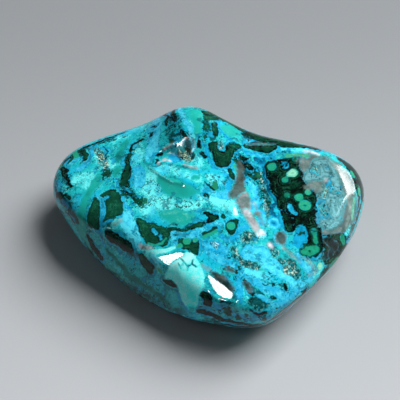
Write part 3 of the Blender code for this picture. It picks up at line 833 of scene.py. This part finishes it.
# The tongue's top is painted paler, partly as painted sheen.
brush(tone, [(174, 264, 0.8), (190, 257, 1.2)], 0.8, 2.4)
brush(tone, [(190, 290, 0.6), (193, 298, 0.8)], -0.1, 3.0)
brush(tone, [(192, 309, 1.4)], -0.7, 2.0)
lay("malachite", {
    "crackle_one": (-0.9, (181, 259, 0.1), (184, 262, 0.1), (182, 266, 0.08)),
    "crackle_two": (-0.9, (184, 262, 0.13), (188, 266, 0.13), (187, 269, 0.1)),
    "crackle_three": (-0.9, (188, 266, 0.13), (192, 264, 0.13), (193, 260, 0.1)),
    "crackle_four": (-0.9, (192, 264, 0.12), (196, 267, 0.1)),
    "crackle_five": (-0.9, (178, 263, 0.12), (181, 268, 0.1)),
})


# ---------------------------------------------------------------------------------------------------------
# Chalcedony windows: grey-brown to milky quartz, half clear. The longest runs down the valley in three
# lengths. Where the quartz is thin, it is only a haze over what lies under it. Some marks here are painted
# light: the milky ones on the pocket's lips and at the strip's end are painted highlights, the grey of the
# front lens and ovals is partly painted reflection, and the haze over the field and the lobe is a painted
# reflection of the softbox over some grey quartz.
# ---------------------------------------------------------------------------------------------------------
lay("window_and_painted_gloss", {
    "long": (-0.45, (237, 160), (243, 163), (244, 174), (244, 184), (246, 190), (240, 197), (231, 199),
             (228, 194), (234, 186), (237, 174)),
    "long_middle": (0.1, (246, 190), (248, 194), (251, 200), (251, 208), (248, 214), (243, 212), (239, 206),
                    (234, 201), (240, 195)),
    "long_foot": (0.5, (242, 209), (249, 209), (254, 217), (259, 226), (263, 233), (259, 238), (254, 231),
                  (248, 222), (243, 215)),
    "spot": (-0.2, (258, 214, 0.8)),
    "white_disc": (0.75, (261, 233, 1.0)),
    "cream": (0.7, (270, 245, 0.8), (272, 247, 0.5)),
    "eye_brown": (-0.5, (281, 236, 1.5), (282, 240, 1.5)),
    "small_lilac": (0.6, (326, 180, 0.9)),
    "green_shore": (0.5, (141, 246, 0.6), (150, 248, 0.6)),
    "strip_top": (-0.45, (247, 144, 0.5), (260, 144, 0.5), (274, 144, 0.5)),
    # This milky strip is a painted highlight at the top of the lobe's arc.
    "strip_end_painted_highlight": (0.85, (305, 151, 0.4), (312, 152, 0.6), (319, 154, 0.4)),
    # The grey of the front lens and ovals below is partly painted reflection.
    "front_lens": (-0.7, (214, 273, 0.8), (222, 279, 1.3), (230, 288, 1.2)),
    "front_ovals": (-0.6, (228, 269, 0.8), (233, 271, 0.6)),
    "front_oval_low": (-0.6, (246, 284, 0.9), (250, 290, 0.8)),
    "right_corner": (-0.95, (326, 240, 1.2), (335, 246, 1.6), (330, 254, 1.0)),
    # The next three milky marks, on the pocket's lips, are painted highlights.
    "pocket_lip": (0.85, (159, 163, 0.4), (164, 160, 0.7), (170, 161, 0.5)),
    "pocket_rim_painted_highlight": (0.7, (164, 149, 0.4), (169, 146, 0.5), (174, 143, 0.3)),
    "pocket_lip_right_painted_highlight": (0.6, (184, 164, 0.3), (191, 167, 0.4), (197, 168, 0.3)),
}, soft=1.0)
lay("window_and_painted_gloss", grown_unseen(20, tones=(-0.6, 0.9), lengths=(1, 5), step=2.0, radius=1.3), soft=1.0)

# The hazes over the field and the lobe below are painted reflection of the softbox; the others grey the
# stone as thin quartz.
HAZES_AND_REFLECTIONS = {
    "field_top": (0.62, 2.2, (299, 160, 1.0), (307, 163, 1.5), (304, 170, 0.9)),
    "field_side": (0.72, 1.8, (307, 187, 1.1), (315, 185, 1.4), (320, 189, 0.8)),
    "lobe": (0.85, 1.4, (331, 163, 0.6), (340, 171, 0.9), (346, 183, 1.1), (349, 197, 1.1), (350, 212, 0.9),
             (346, 225, 0.9)),
    "under_agate": (0.5, 1.2, (323, 232, 0.7), (333, 233, 0.8), (341, 229, 0.7)),
    "beside_long": (0.55, 1.4, (254, 202, 0.6), (258, 213, 0.7), (263, 224, 0.7)),
    "below_disc": (0.6, 1.4, (284, 248, 0.7), (292, 255, 0.9), (300, 262, 0.7)),
    "right_corner": (0.6, 1.6, (309, 262, 0.9), (316, 271, 0.9), (308, 276, 0.7)),
    "left_crest": (0.65, 1.4, (114, 224, 1.0), (121, 221, 0.9)),
    "lobe_outer_painted_reflection": (0.75, 1.0, (340, 166, 0.5), (346, 174, 0.7), (350, 183, 0.7)),
    "under_big_eye": (0.6, 1.2, (301, 257, 0.5), (309, 261, 0.6)),
    "behind_tongue": (0.7, 1.2, (202, 266, 0.7), (209, 269, 0.8)),
}
for share, soft, *balls in HAZES_AND_REFLECTIONS.values():
    brush(haze_and_reflection, balls, share, soft)
for share, *balls in grown_unseen(14, tones=(0.5, 0.9), lengths=(1, 4), step=2.0, radius=1.2).values():
    brush(haze_and_reflection, balls, share, 1.5)


# ---------------------------------------------------------------------------------------------------------
# Where the polish is dull: soft or granular parts that the wheel undercut. Each patch has how much duller
# it is than the full polish, and how softly it ends.
# ---------------------------------------------------------------------------------------------------------
DULLS = {
    "tongue": (2.4, 1.2, (163, 280), (168, 267), (174, 262), (184, 258), (192, 256), (197, 260), (203, 268),
               (205, 277), (204, 289), (199, 297), (197, 310), (191, 312), (185, 305), (181, 293),
               (178, 283), (170, 279)),
    "beside_tongue": (1.8, 2.0, (154, 258, 1.2), (158, 270, 1.6)),
    "back_flank": (1.0, 1.5, (202, 112, 2.2), (215, 119, 2.6), (232, 128, 2.6), (250, 137, 2.0)),
    "pocket": (2.4, 1.5, (176, 152, 1.0), (186, 152, 1.6), (189, 144, 1.6)),
    "lobe_arc": (0.6, 2.0, (318, 154, 0.6), (333, 163, 1.0), (345, 172, 1.4), (352, 183, 1.4)),
    "lobe_tail": (2.4, 1.5, (353, 196, 0.6), (349, 203, 1.2), (344, 211, 1.2), (338, 219, 1.0)),
}
for roughening, soft, *patch in DULLS.values():
    brush(dull, patch, roughening, soft)


# ---------------------------------------------------------------------------------------------------------
# The depths go on the skin as attributes, one for each mineral and one for each brushed field. The
# material below reads them, and adds the grain that is finer than the skin's faces.
# ---------------------------------------------------------------------------------------------------------
for field, value in {**depths, "tone": tone, "net": net, "dusk_and_painted_shade": dusk_and_painted_shade, "haze_and_reflection": haze_and_reflection,
                     "dull": dull, "druse": druse}.items():
    attribute = skin.data.attributes.new(field, "FLOAT", "POINT")
    attribute.data.foreach_set("value", value.astype(np.float32))


# ---------------------------------------------------------------------------------------------------------
# The polished rock. One material holds every mineral, because they grew as one mass: each layer covers
# those before it where the skin lies inside its patches. The grain is sized in millimetres of the stone.
# ---------------------------------------------------------------------------------------------------------
LACE_CELL = 0.9           # sizes of the finer patterns, in millimetres
AGATE_BAND = 1.3
GROWTH_BAND = 0.8
EYE_RING = 0.6
FULL_POLISH = 0.06        # the roughness of the clear patches, and what lace and a dull patch add to it
LACE_ROUGHENING = 0.10
DULL_ROUGHENING = 0.30

stone_material = bpy.data.materials.new("polished_chrysocolla_and_malachite")
stone_material.use_nodes = True
tree = stone_material.node_tree
polish = tree.nodes["Principled BSDF"]


def colour(red, green, blue):
    """A colour given as 0 to 255, in the linear values that a shader takes."""
    shares = (red / 255, green / 255, blue / 255)
    linear = [share / 12.92 if share <= 0.04 else ((share + 0.055) / 1.055) ** 2.4 for share in shares]
    return (*linear, 1.0)


def node(kind, inputs=None, **settings):
    """A node in the tree that is being built, with its inputs set or linked."""
    made = tree.nodes.new(kind)
    for key, value in settings.items():
        setattr(made, key, value)
    for key, value in (inputs or {}).items():
        if isinstance(value, bpy.types.NodeSocket):
            tree.links.new(value, made.inputs[key])
        else:
            made.inputs[key].default_value = value
    return made


def sums(operation, first, second=0.0):
    """A sum of two values, by the operation's name."""
    return node("ShaderNodeMath", {0: first, 1: second}, operation=operation).outputs[0]


def plus(*values):
    total = values[0]
    for value in values[1:]:
        total = sums("ADD", total, value)
    return total


def times(first, second):
    return sums("MULTIPLY", first, second)


def fade(value, start, end):
    """0 where the value is at start and 1 at end, with a soft step between."""
    made = node("ShaderNodeMapRange", {"Value": value, "From Min": start, "From Max": end},
                interpolation_type="SMOOTHSTEP")
    return made.outputs["Result"]


def blend(share, under, over):
    made = node("ShaderNodeMix", {0: share, 6: under, 7: over}, data_type="RGBA")
    return made.outputs[2]


def mineral_depth(name):
    """What the skin's attribute of that name says."""
    return node("ShaderNodeAttribute", attribute_name=name).outputs["Fac"]


in_metres = node("ShaderNodeTexCoord").outputs["Object"]
in_mm = node("ShaderNodeVectorMath", {0: in_metres, 3: 1 / MM}, operation="SCALE").outputs[0]


def grain(size, detail=2.0, roughness=0.5, shift=0.0, swirl=0.0):
    """Noise about nought, within a half either way, with features about as large as the size."""
    place = node("ShaderNodeVectorMath", {0: in_mm, 1: (shift, shift, shift)}, operation="ADD").outputs[0]
    made = node("ShaderNodeTexNoise", {
        "Vector": place, "Scale": 1 / size, "Detail": detail, "Roughness": roughness, "Distortion": swirl})
    return sums("SUBTRACT", made.outputs["Fac"], 0.5)


def toned(tone_value, dark, middle, pale):
    """Dark at tone -1, middle at 0 and pale at 1."""
    lower = blend(fade(tone_value, -1.0, 0.0), dark, middle)
    return blend(fade(tone_value, 0.0, 1.0), lower, pale)


tone_value = mineral_depth("tone")
net_value = mineral_depth("net")
edge_grain = times(grain(0.7, 4.0, 0.65), 1.2)


def inside(depth, softness=0.12):
    """1 inside a mineral and 0 outside it, with a fine ragged edge."""
    return fade(plus(depth, edge_grain), softness, -softness)


teal_depth = mineral_depth("teal")
sky_depth = mineral_depth("sky")
pale_depth = mineral_depth("pale")

# ground: turquoise, paler in clouds, with bluer drifts
ground_mottle = times(grain(4.0, 4.0, 0.6), 2.6)
ground_tone = plus(tone_value, ground_mottle, times(grain(0.6, 3.0, 0.7, shift=3.0), 1.9))
ground = toned(ground_tone, colour(6, 92, 98), colour(32, 194, 200), colour(108, 248, 248))
ground = blend(times(fade(grain(5.5, 2.0, shift=40.0), 0.0, 0.14), 0.6), ground, colour(16, 190, 228))
finished = ground

# lace: cells of three tones, with dark walls
cell_place = {"Vector": in_mm, "Scale": 1 / LACE_CELL}
cell_wall = node("ShaderNodeTexVoronoi", cell_place, feature="DISTANCE_TO_EDGE").outputs["Distance"]
cell_colour = node("ShaderNodeTexVoronoi", cell_place).outputs["Color"]
cell_value = node("ShaderNodeSeparateColor", {0: cell_colour}).outputs[0]
cell_tone = times(plus(cell_value, -0.5), 1.5)
lace_tone = plus(tone_value, cell_tone, times(grain(0.5, 2.0, 0.7, shift=13.0), 1.6))
lace = toned(lace_tone, colour(10, 74, 78), colour(56, 176, 182), colour(196, 226, 206))
lace = blend(times(fade(plus(cell_wall, edge_grain), 0.18, 0.04), 0.85), lace, colour(6, 50, 46))
lace_share = inside(mineral_depth("lace"), 0.5)
finished = blend(lace_share, finished, lace)

# teal: almost even
teal_mottle = times(grain(3.0, 3.0, shift=5.0), 1.4)
teal_tone = plus(tone_value, teal_mottle, times(grain(0.5, 2.0, 0.7, shift=15.0), 0.8))
teal = toned(teal_tone, colour(6, 108, 102), colour(26, 172, 160), colour(110, 222, 206))
finished = blend(inside(teal_depth, 0.75), finished, teal)

# agate: two pale blues in bands, with one dark line inside the shore
agate_depth = mineral_depth("agate")
agate_level = plus(agate_depth, times(grain(2.6, 2.0), 1.0))
agate_band = fade(sums("SINE", times(agate_level, 2 * math.pi / AGATE_BAND)), -0.8, 0.6)
agate = blend(agate_band, colour(84, 144, 148), colour(112, 180, 188))
agate_line = fade(sums("ABSOLUTE", plus(agate_level, 0.9)), 0.16, 0.02)
agate = blend(times(agate_line, 0.2), agate, colour(30, 92, 98))
finished = blend(inside(agate_depth, 0.3), finished, agate)

# dusk: where fine malachite darkens the rest, and painted shade along the outline and on the shaded side
coarse_mottle = times(grain(1.7, 4.0, 0.65, shift=210.0), 1.5)
fine_mottle = times(grain(0.5, 2.0, 0.7, shift=215.0), 0.6)
dusk_and_shade_value = plus(mineral_depth("dusk_and_painted_shade"), plus(coarse_mottle, fine_mottle))
dusk_and_shade_tone = plus(times(grain(1.4, 3.0, 0.65, shift=220.0), 4.0), -0.2)
dusky_and_shaded = toned(dusk_and_shade_tone, colour(3, 24, 24), colour(7, 78, 78), colour(30, 150, 168))
finished = blend(times(fade(dusk_and_shade_value, 0.32, 0.72), 0.94), finished, dusky_and_shaded)

# sky: mottled pure blue
sky_mottle = times(grain(1.8, 3.0, 0.6, shift=60.0), 1.6)
sky_tone = plus(tone_value, sky_mottle, times(grain(0.5, 2.0, 0.7, shift=17.0), 0.8))
sky = toned(sky_tone, colour(2, 66, 98), colour(16, 166, 212), colour(88, 234, 252))
finished = blend(inside(sky_depth), finished, sky)

# pale: bright cyan to nearly white
pale_mottle = times(grain(1.8, 3.0, 0.6, shift=25.0), 1.0)
pale_tone = plus(tone_value, pale_mottle, times(grain(0.4, 2.0, 0.7, shift=26.0), 1.2))
pale = toned(pale_tone, colour(3, 140, 152), colour(30, 246, 242), colour(180, 254, 252))
finished = blend(inside(pale_depth, 0.25), finished, pale)

# specks, hairlines and sparkles: they keep out of teal, pale and the middles of the sky-blue
quiet = sums("MINIMUM", fade(teal_depth, -0.6, 0.3), fade(pale_depth, -0.6, 0.3))
quiet = sums("MINIMUM", quiet, fade(sky_depth, -1.1, 0.0))
patchy = grain(3.0, 2.0, shift=80.0)
speck_share = plus(times(net_value, 0.06), times(patchy, 0.26))
speck = fade(plus(grain(0.7, 3.0, 0.75, shift=11.0, swirl=1.5), speck_share), 0.13, 0.17)
finished = blend(times(times(speck, quiet), 0.95), finished, colour(2, 34, 40))
hair_width = plus(times(net_value, 0.035), times(patchy, 0.08), 0.012)
hair = sums("ABSOLUTE", grain(2.0, 4.0, 0.65, shift=7.0, swirl=1.2))
hair_share = fade(plus(hair, times(hair_width, -1.0)), 0.006, -0.004)
dashes = fade(grain(1.1, 2.0, shift=21.0), -0.06, 0.02)
finished = blend(times(times(times(hair_share, dashes), quiet), 0.95), finished, colour(2, 32, 34))
sparkle = fade(grain(0.6, 2.0, 0.7, shift=19.0), 0.19, 0.25)
finished = blend(times(times(sparkle, quiet), 0.6), finished, colour(140, 250, 250))

# malachite, ringed by bright and dark bands
stray = times(plus(grain(3.2, 3.0, 0.6, shift=130.0), times(net_value, 0.21), -0.22), -9.0)
stray = sums("MAXIMUM", stray, sums("MULTIPLY", teal_depth, -1.0))
stray = sums("MAXIMUM", stray, sums("MULTIPLY", pale_depth, -1.0))
malachite_depth = sums("MINIMUM", mineral_depth("malachite"), stray)
rim_depth = plus(malachite_depth, edge_grain)
rim_width = plus(times(grain(3.0, 2.0, shift=170.0), 5.0), 0.35)
beyond = plus(rim_depth, times(rim_width, -1.0))
lit = fade(net_value, 1.0, 0.85)
shade_line = times(fade(beyond, 0.45, 0.15), fade(rim_depth, 0.3, 0.6))
bare = fade(pale_depth, -0.5, 0.3)
finished = blend(times(times(shade_line, bare), 0.62), finished, colour(5, 78, 92))
rim_share = times(plus(times(lit, 0.7), 0.2), fade(grain(4.5, 2.0, shift=175.0), -0.10, 0.06))
rim = times(times(fade(beyond, 0.35, -0.30), rim_share), bare)
rim_tone = times(grain(1.5, 3.0, 0.6, shift=190.0), 3.0)
rim_colour = toned(rim_tone, colour(4, 92, 128), colour(18, 166, 206), colour(90, 238, 250))
finished = blend(rim, finished, rim_colour)
malachite_mottle = times(grain(2.0, 4.0, 0.65, shift=20.0), 2.4)
malachite_tone = plus(tone_value, malachite_mottle, times(grain(0.4, 2.0, 0.7, shift=23.0), 1.4))
malachite_tone = plus(malachite_tone, times(fade(rim_depth, -0.9, 0.1), -0.7), 0.15)
malachite = toned(malachite_tone, colour(3, 8, 6), colour(9, 68, 48), colour(30, 128, 96))
growth = sums("SINE", times(rim_depth, 2 * math.pi / GROWTH_BAND))
growth_line = times(fade(growth, 0.5, 0.95), fade(grain(2.5, 1.0, shift=90.0), -0.02, 0.10))
malachite = blend(times(growth_line, 0.35), malachite, colour(40, 128, 96))
fleck = fade(plus(grain(0.7, 3.0, 0.7, shift=27.0), times(malachite_depth, 0.10)), 0.07, 0.13)
malachite = blend(times(fleck, 0.75), malachite, colour(22, 150, 160))
finished = blend(fade(rim_depth, 0.22, -0.16), finished, malachite)

# eye: rings of green, with a glow in the dark mass round it
eye_depth = mineral_depth("eye")
glow = fade(plus(eye_depth, edge_grain), 1.0, -0.2)
glow = times(glow, fade(mineral_depth("malachite"), 0.2, -0.2))
finished = blend(times(glow, 0.6), finished, colour(8, 74, 48))
eye_tone = plus(tone_value, times(grain(1.0, 3.0, 0.6, shift=29.0), 0.9))
eye = toned(eye_tone, colour(8, 70, 48), colour(32, 166, 130), colour(150, 230, 200))
eye_ring = fade(sums("SINE", times(eye_depth, 2 * math.pi / EYE_RING)), 0.2, 0.9)
eye = blend(times(eye_ring, 0.25), eye, colour(10, 90, 65))
finished = blend(inside(eye_depth, 0.25), finished, eye)

# window: smoky where dark, milky where pale, with a hint of rose here and there. Its milky marks on the
# pocket's lips and the strip's end are painted highlights, and its grey is partly painted reflection
window_and_gloss_tone = plus(tone_value, times(grain(2.2, 3.0, shift=50.0), 1.4))
window_and_painted_gloss = toned(window_and_gloss_tone, colour(18, 30, 26), colour(94, 104, 98), colour(228, 228, 234))
rose = fade(grain(2.6, 2.0, shift=52.0), -0.02, 0.12)
window_and_painted_gloss = blend(times(times(rose, fade(window_and_gloss_tone, -0.4, 0.4)), 0.4), window_and_painted_gloss, colour(148, 122, 132))
window_and_gloss_share = fade(plus(mineral_depth("window_and_painted_gloss"), times(edge_grain, 1.6)), 0.6, -0.6)
finished = blend(times(window_and_gloss_share, 0.92), finished, window_and_painted_gloss)

# haze: quartz so thin over the rest that it only greys it, and over the field and the lobe a painted
# reflection of the softbox
haze_and_reflection_share = fade(plus(mineral_depth("haze_and_reflection"), times(grain(1.3, 3.0, 0.6, shift=55.0), 0.9)), 0.15, 0.95)
haze_and_reflection_tone = times(grain(2.0, 3.0, 0.6, shift=57.0), 4.0)
hazed_and_reflected = toned(haze_and_reflection_tone, colour(80, 104, 98), colour(118, 142, 137), colour(186, 194, 192))
finished = blend(times(haze_and_reflection_share, 0.9), finished, hazed_and_reflected)

tree.links.new(finished, polish.inputs["Base Color"])
roughening = plus(times(mineral_depth("dull"), DULL_ROUGHENING), times(lace_share, LACE_ROUGHENING))
roughness = plus(roughening, FULL_POLISH)
tree.links.new(roughness, polish.inputs["Roughness"])
polish.inputs["IOR"].default_value = 1.5
polish.inputs["Specular IOR Level"].default_value = 0.28
skin.data.materials.clear()
skin.data.materials.append(stone_material)

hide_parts("chrysocolla_stone")
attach(skin, "root")


# ---------------------------------------------------------------------------------------------------------
# Druse: quartz that grew as tiny pointed crystals in the hollows, where the wheel never reached. They are
# scattered over the hollows of the skin, each standing square to it but for a little tilt.
# ---------------------------------------------------------------------------------------------------------
CRYSTALS_PER_MM2 = 7.0
CRYSTAL_LENGTH = 0.55
CRYSTAL_RADIUS = 0.16
CRYSTAL_SIDES = 6
CRYSTAL_TILT = 0.5
SMALLEST = 0.5            # of the full length, and likewise the largest
LARGEST = 1.3
CRYSTAL_SEED = 5

druse_material = bpy.data.materials.new("druse_quartz")
druse_material.use_nodes = True
tree = druse_material.node_tree
quartz = tree.nodes["Principled BSDF"]
crystal_tone = times(grain(0.5, 1.0, shift=300.0), 4.0)
tree.links.new(toned(crystal_tone, colour(60, 120, 104), colour(186, 214, 190), colour(250, 250, 236)),
               quartz.inputs["Base Color"])
quartz.inputs["Roughness"].default_value = 0.18
quartz.inputs["IOR"].default_value = 1.54

druse_tree = bpy.data.node_groups.new("druse_on_hollows", "GeometryNodeTree")
tree = druse_tree
inlet = {}
for kind, name in (
        ("NodeSocketGeometry", "Skin"),
        ("NodeSocketFloat", "Crystals per square metre"),
        ("NodeSocketFloat", "Length"),
        ("NodeSocketFloat", "Radius"),
        ("NodeSocketFloat", "Tilt"),
        ("NodeSocketInt", "Seed"),
        ("NodeSocketMaterial", "Material")):
    inlet[name] = tree.interface.new_socket(name, in_out="INPUT", socket_type=kind).identifier
tree.interface.new_socket("Crystals", in_out="OUTPUT", socket_type="NodeSocketGeometry")
asked = node("NodeGroupInput").outputs
hollow = node("GeometryNodeInputNamedAttribute", {"Name": "druse"}, data_type="FLOAT").outputs["Attribute"]
density = times(asked["Crystals per square metre"], hollow)
scattered = node("GeometryNodeDistributePointsOnFaces", {
    "Mesh": asked["Skin"], "Density": density, "Seed": asked["Seed"]})
crystal = node("GeometryNodeMeshCone", {
    "Vertices": CRYSTAL_SIDES, "Radius Top": 0.0,
    "Radius Bottom": asked["Radius"], "Depth": asked["Length"]})
backwards = sums("MULTIPLY", asked["Tilt"], -1.0)
turn = node("ShaderNodeCombineXYZ", {0: backwards, 1: backwards, 2: -math.pi}).outputs[0]
turn_back = node("ShaderNodeCombineXYZ", {0: asked["Tilt"], 1: asked["Tilt"], 2: math.pi}).outputs[0]
spin = node("FunctionNodeRandomValue", {0: turn, 1: turn_back, "Seed": asked["Seed"]},
            data_type="FLOAT_VECTOR")
growth_size = node("FunctionNodeRandomValue", {2: SMALLEST, 3: LARGEST, "Seed": asked["Seed"]},
                   data_type="FLOAT")
planted = node("GeometryNodeInstanceOnPoints", {
    "Points": scattered.outputs["Points"], "Instance": crystal.outputs["Mesh"],
    "Rotation": scattered.outputs["Rotation"], "Scale": growth_size.outputs[1]})
tilted = node("GeometryNodeRotateInstances", {"Instances": planted.outputs[0], "Rotation": spin.outputs[0]})
realised = node("GeometryNodeRealizeInstances", {0: tilted.outputs[0]})
coated = node("GeometryNodeSetMaterial", {"Geometry": realised.outputs[0], "Material": asked["Material"]})
tree.links.new(coated.outputs[0], node("NodeGroupOutput").inputs[0])

grower = bpy.data.objects.new("druse_grower", skin.data)
bpy.context.scene.collection.objects.link(grower)
growing = grower.modifiers.new("druse", "NODES")
growing.node_group = druse_tree
growing[inlet["Crystals per square metre"]] = CRYSTALS_PER_MM2 / MM ** 2
growing[inlet["Length"]] = CRYSTAL_LENGTH * MM
growing[inlet["Radius"]] = CRYSTAL_RADIUS * MM
growing[inlet["Tilt"]] = CRYSTAL_TILT
growing[inlet["Seed"]] = CRYSTAL_SEED
growing[inlet["Material"]] = druse_material
druse_mesh = bpy.data.meshes.new_from_object(grower.evaluated_get(bpy.context.evaluated_depsgraph_get()))
bpy.data.objects.remove(grower)
druse_crystals = bpy.data.objects.new("druse_crystals", druse_mesh)
bpy.context.scene.collection.objects.link(druse_crystals)
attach(druse_crystals, "root")


# ---------------------------------------------------------------------------------------------------------
# The tabletop and the light. The top is plain and matt, and its colour is painted pale in front and greyer
# behind, as painted light falloff. One large softbox, high on the right and behind, lights the stone, and
# two small lamps only put highlights on its flats.
# ---------------------------------------------------------------------------------------------------------
TABLE_HALF = 1.5
TABLE_PAINTED_FALLOFF_REACH = 0.14         # how far before and behind the stone its shade changes
# The two tabletop colours are painted light falloff: lit in front, shaded behind.
TABLE_PAINTED_LIT_FRONT = (0.50, 0.52, 0.54, 1)
TABLE_PAINTED_SHADED_BEHIND = (0.24, 0.253, 0.265, 1)
table_mesh = bpy.data.meshes.new("tabletop")
table_mesh.from_pydata(
    [(-TABLE_HALF, -TABLE_HALF, 0), (TABLE_HALF, -TABLE_HALF, 0), (TABLE_HALF, TABLE_HALF, 0),
     (-TABLE_HALF, TABLE_HALF, 0)], [], [(0, 1, 2, 3)])
table = bpy.data.objects.new("tabletop", table_mesh)
bpy.context.scene.collection.objects.link(table)
table_material = bpy.data.materials.new("pale_tabletop")
table_material.use_nodes = True
tree = table_material.node_tree
across_table = node("ShaderNodeSeparateXYZ", {0: node("ShaderNodeTexCoord").outputs["Object"]}).outputs["Y"]
table_painted_falloff = blend(fade(across_table, -TABLE_PAINTED_FALLOFF_REACH, TABLE_PAINTED_FALLOFF_REACH), TABLE_PAINTED_LIT_FRONT, TABLE_PAINTED_SHADED_BEHIND)
tree.links.new(table_painted_falloff, tree.nodes["Principled BSDF"].inputs["Base Color"])
tree.nodes["Principled BSDF"].inputs["Roughness"].default_value = 0.55
table_mesh.materials.append(table_material)


def softbox(name, direction, distance, width, height, watts):
    """An area light that faces the stone."""
    lamp = bpy.data.lights.new(name, "AREA")
    lamp.shape = "RECTANGLE"
    lamp.size = width
    lamp.size_y = height
    lamp.energy = watts
    placed = bpy.data.objects.new(name, lamp)
    bpy.context.scene.collection.objects.link(placed)
    towards = Vector(direction).normalized()
    placed.location = HEART * MM + towards * distance
    placed.rotation_euler = (-towards).to_track_quat("-Z", "Y").to_euler()
    return placed


key = softbox("key_softbox", (0.54, 0.34, 0.77), distance=1.5, width=1.05, height=1.05, watts=43)
key.visible_glossy = False
lobe_strip = softbox("lobe_strip", LOBE_LAMP, LAMP_DISTANCE, width=0.15, height=0.15, watts=1.6)
lobe_strip.visible_diffuse = False
crest_strip = softbox("crest_strip", CREST_LAMP, LAMP_DISTANCE, width=0.16, height=0.16, watts=3.8)
crest_strip.visible_diffuse = False

world = bpy.data.worlds.new("studio")
bpy.context.scene.world = world
world.use_nodes = True
world.node_tree.nodes["Background"].inputs["Color"].default_value = (0.80, 0.86, 0.92, 1)
world.node_tree.nodes["Background"].inputs["Strength"].default_value = 0.09
bpy.context.scene.view_settings.view_transform = "Standard"
